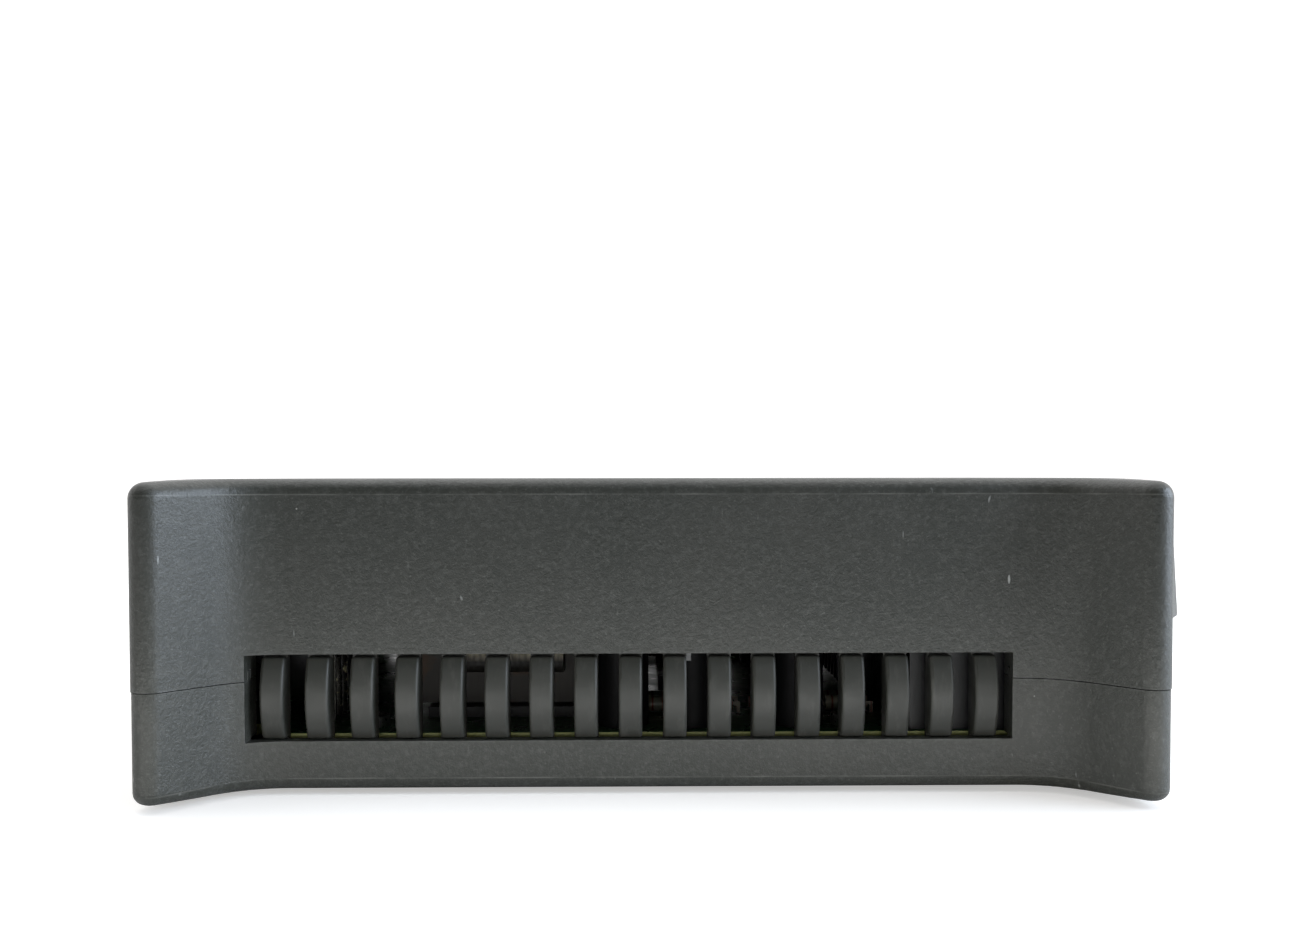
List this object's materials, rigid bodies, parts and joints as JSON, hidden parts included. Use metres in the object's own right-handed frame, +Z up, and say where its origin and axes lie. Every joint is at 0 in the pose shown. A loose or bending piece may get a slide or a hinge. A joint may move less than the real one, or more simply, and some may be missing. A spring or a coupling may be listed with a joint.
{
  "type": "direct injection box",
  "caption": "Moulded two-channel direct injection box with waisted, vented sides, jack inputs and rotary pads in front, and balanced outputs and lift buttons behind.",
  "frame": {"origin": "on the resting plane, under the middle of the overall length", "axes": "+X towards the control panel, -X the connector panel, +Y and -Y the vented sides, +Z up"},
  "size_m": [0.1386, 0.12, 0.0428],
  "materials": {
    "case_plastic": "fine spark-eroded texture, satin",
    "vent_plastic": "smooth satin moulding",
    "front_plate": "fine matt plate",
    "rear_plate": "textured black powder coat on steel",
    "pad_rubber": "matt rubber",
    "screw_steel": "zinc plated",
    "black_screw": "black oxide",
    "board_laminate": "green solder mask on glass laminate",
    "core_iron": "stacked laminations, varnished",
    "winding_tape": "paper wrap, browned lower down",
    "bobbin_nylon": "moulded nylon",
    "capacitor_sleeve": "black shrink sleeve",
    "film_box": "beige box",
    "chip_epoxy": "black epoxy",
    "resistor_body": "beige lacquer",
    "sink_aluminium": "black anodised",
    "jack_plastic": "black nylon",
    "nut_nickel": "nickel plated",
    "contact_tin": "plated spring brass",
    "xlr_shell": "black glass-filled nylon",
    "knob_plastic": "soft black moulding",
    "shaft_aluminium": "turned",
    "button_plastic": "grey moulding",
    "plunger_plastic": "white acetal",
    "green_lens": "clear green lens",
    "amber_lens": "clear amber lens"
  },
  "bodies": {
    "case": {"bottom_shell": "case_plastic", "top_shell": "case_plastic", "vent_grille_left": "vent_plastic", "vent_grille_right": "vent_plastic", "front_panel": "front_plate", "rear_panel": "rear_plate", "base_pads": "pad_rubber", "case_screws": "black_screw", "board_screws": "screw_steel", "xlr_screws": "black_screw", "main_board": "board_laminate", "transformer_core_1": "core_iron", "transformer_core_2": "core_iron", "transformer_winding_1": "winding_tape", "transformer_winding_2": "winding_tape", "transformer_base_1": "bobbin_nylon", "transformer_base_2": "bobbin_nylon", "electrolytic_capacitors": "capacitor_sleeve", "film_capacitors": "film_box", "op_amp_chips": "chip_epoxy", "resistors": "resistor_body", "voltage_regulator": "chip_epoxy", "heat_sink": "sink_aluminium", "input_jack_1": "jack_plastic", "input_jack_2": "jack_plastic", "link_jack_1": "jack_plastic", "link_jack_2": "jack_plastic", "jack_nuts": "nut_nickel", "jack_contacts": "contact_tin", "pad_switch_1": "jack_plastic", "pad_switch_2": "jack_plastic", "led_holder": "jack_plastic", "power_led": "green_lens", "signal_led_1": "amber_lens", "signal_led_2": "amber_lens", "xlr_housing_1": "xlr_shell", "xlr_housing_2": "xlr_shell", "xlr_pins_1": "contact_tin", "xlr_pins_2": "contact_tin", "lift_switch_1": "jack_plastic", "lift_switch_2": "jack_plastic", "dc_inlet": "jack_plastic", "dc_pin": "nut_nickel"},
    "pad_selector_1": {"pad_shaft_1": "shaft_aluminium", "pad_knob_1": "knob_plastic"},
    "pad_selector_2": {"pad_shaft_2": "shaft_aluminium", "pad_knob_2": "knob_plastic"},
    "lift_button_1": {"lift_plunger_1": "plunger_plastic", "lift_button_1": "button_plastic"},
    "lift_button_2": {"lift_plunger_2": "plunger_plastic", "lift_button_2": "button_plastic"}
  },
  "joints": [
    {"name": "pad_turn_1", "type": "hinge", "parent": "case", "child": "pad_selector_1", "pos_m": [0.0577, -0.0095, 0.0146], "axis": [1, 0, 0], "range_deg": [-30, 30]},
    {"name": "pad_turn_2", "type": "hinge", "parent": "case", "child": "pad_selector_2", "pos_m": [0.0577, 0.0095, 0.0146], "axis": [1, 0, 0], "range_deg": [-30, 30]},
    {"name": "lift_press_1", "type": "slide", "parent": "case", "child": "lift_button_1", "axis": [1, 0, 0], "range_m": [0, 0.002], "stiffness_N_per_m": 400, "springref_m": -0.001},
    {"name": "lift_press_2", "type": "slide", "parent": "case", "child": "lift_button_2", "axis": [1, 0, 0], "range_m": [0, 0.002], "stiffness_N_per_m": 400, "springref_m": -0.001}
  ]
}
